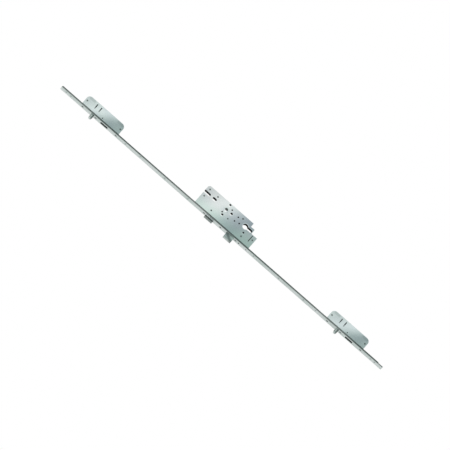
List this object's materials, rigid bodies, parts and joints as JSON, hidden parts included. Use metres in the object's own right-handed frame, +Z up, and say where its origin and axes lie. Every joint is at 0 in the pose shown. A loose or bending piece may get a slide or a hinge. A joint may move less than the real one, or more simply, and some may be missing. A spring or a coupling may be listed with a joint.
{
  "type": "multipoint door lock",
  "caption": "Multipoint mortise door lock: long faceplate, stepped centre case with latch and deadbolt, two bolt boxes with pin bolts and swing hooks.",
  "frame": {"origin": "on the faceplate's front face, on its centreline, level with the spindle", "axes": "+Z up along the faceplate, -Y out of its front, +Y into the door leaf, X across its width"},
  "size_m": [0.02, 0.0901, 1.2034],
  "materials": {
    "faceplate_steel": "satin silver",
    "case_steel": "zinc plated, satin",
    "rod_steel": "zinc plated, dull",
    "bolt_steel": "nickel plated, satin",
    "zinc_casting": "cast, matt",
    "bright_steel": "turned",
    "screw_steel": "zinc plated",
    "spring_steel": "drawn wire"
  },
  "bodies": {
    "lock_frame": {"faceplate": "faceplate_steel", "rod_guide_studs": "bright_steel", "case_body": "case_steel", "case_cover": "case_steel", "case_pillars": "bright_steel", "case_posts": "zinc_casting", "case_screws": "screw_steel", "latch_stop": "bright_steel", "latch_spring": "spring_steel", "follower_spring": "spring_steel", "upper_box_body": "case_steel", "upper_box_cover": "case_steel", "upper_box_pillars": "bright_steel", "upper_box_posts": "zinc_casting", "upper_box_screws": "screw_steel", "upper_hook_pivot": "bright_steel", "lower_box_body": "case_steel", "lower_box_cover": "case_steel", "lower_box_pillars": "bright_steel", "lower_box_posts": "zinc_casting", "lower_box_screws": "screw_steel", "lower_hook_pivot": "bright_steel"},
    "follower_hub": {"follower": "zinc_casting"},
    "latch_unit": {"latch_head": "bolt_steel", "latch_tail": "bright_steel", "latch_pin": "bright_steel"},
    "deadbolt_unit": {"deadbolt_head": "bolt_steel", "deadbolt_tail": "bright_steel", "deadbolt_pins": "bright_steel", "deadbolt_peg": "bright_steel"},
    "bolt_drive": {"bolt_rod": "rod_steel", "bolt_plate": "rod_steel", "upper_pin_plate": "rod_steel", "lower_pin_plate": "rod_steel"},
    "hook_drive": {"hook_rod": "rod_steel", "hook_key_plate": "rod_steel", "upper_hook_plate": "rod_steel", "lower_hook_plate": "rod_steel"},
    "upper_pin_unit": {"upper_pin": "bolt_steel", "upper_pin_carriage": "zinc_casting", "upper_pin_pegs": "bright_steel"},
    "upper_hook_unit": {"upper_hook": "bolt_steel", "upper_hook_peg": "bright_steel"},
    "lower_pin_unit": {"lower_pin": "bolt_steel", "lower_pin_carriage": "zinc_casting", "lower_pin_pegs": "bright_steel"},
    "lower_hook_unit": {"lower_hook": "bolt_steel", "lower_hook_peg": "bright_steel"}
  },
  "joints": [
    {"name": "follower_turn", "type": "hinge", "parent": "lock_frame", "child": "follower_hub", "pos_m": [0, 0.05, 0], "axis": [-1, 0, 0], "range_deg": [0, 40], "stiffness_Nm_per_rad": 0.8, "springref_deg": -34.38, "deforming": ["follower_spring"]},
    {"name": "latch_slide", "type": "slide", "parent": "lock_frame", "child": "latch_unit", "axis": [0, 1, 0], "range_m": [0, 0.0115], "stiffness_N_per_m": 350, "springref_m": -0.012, "deforming": ["latch_spring"]},
    {"name": "bolt_rod_slide", "type": "slide", "parent": "lock_frame", "child": "bolt_drive", "axis": [0, 0, -1], "range_m": [0, 0.016]},
    {"name": "deadbolt_slide", "type": "slide", "parent": "lock_frame", "child": "deadbolt_unit", "axis": [0, 1, 0], "range_m": [0, 0.0165]},
    {"name": "hook_rod_slide", "type": "slide", "parent": "lock_frame", "child": "hook_drive", "axis": [0, 0, -1], "range_m": [0, 0.01157]},
    {"name": "upper_pin_slide", "type": "slide", "parent": "lock_frame", "child": "upper_pin_unit", "axis": [0, 1, 0], "range_m": [0, 0.0145]},
    {"name": "upper_hook_swing", "type": "hinge", "parent": "lock_frame", "child": "upper_hook_unit", "pos_m": [0, 0.0125, 0.4287], "axis": [-1, 0, 0], "range_deg": [0, 80]},
    {"name": "lower_pin_slide", "type": "slide", "parent": "lock_frame", "child": "lower_pin_unit", "axis": [0, 1, 0], "range_m": [0, 0.0145]},
    {"name": "lower_hook_swing", "type": "hinge", "parent": "lock_frame", "child": "lower_hook_unit", "pos_m": [0, 0.0125, -0.4899], "axis": [-1, 0, 0], "range_deg": [0, 80]}
  ],
  "couplings": [
    {"joint": "follower_turn", "follows": "latch_slide", "rad_per_m": 60.705},
    {"joint": "deadbolt_slide", "follows": "bolt_rod_slide", "ratio": 1.0312},
    {"joint": "upper_pin_slide", "follows": "bolt_rod_slide", "ratio": 0.90625},
    {"joint": "upper_hook_swing", "follows": "hook_rod_slide", "rad_per_m": 120.68},
    {"joint": "lower_pin_slide", "follows": "bolt_rod_slide", "ratio": 0.90625},
    {"joint": "lower_hook_swing", "follows": "hook_rod_slide", "rad_per_m": 120.68}
  ]
}
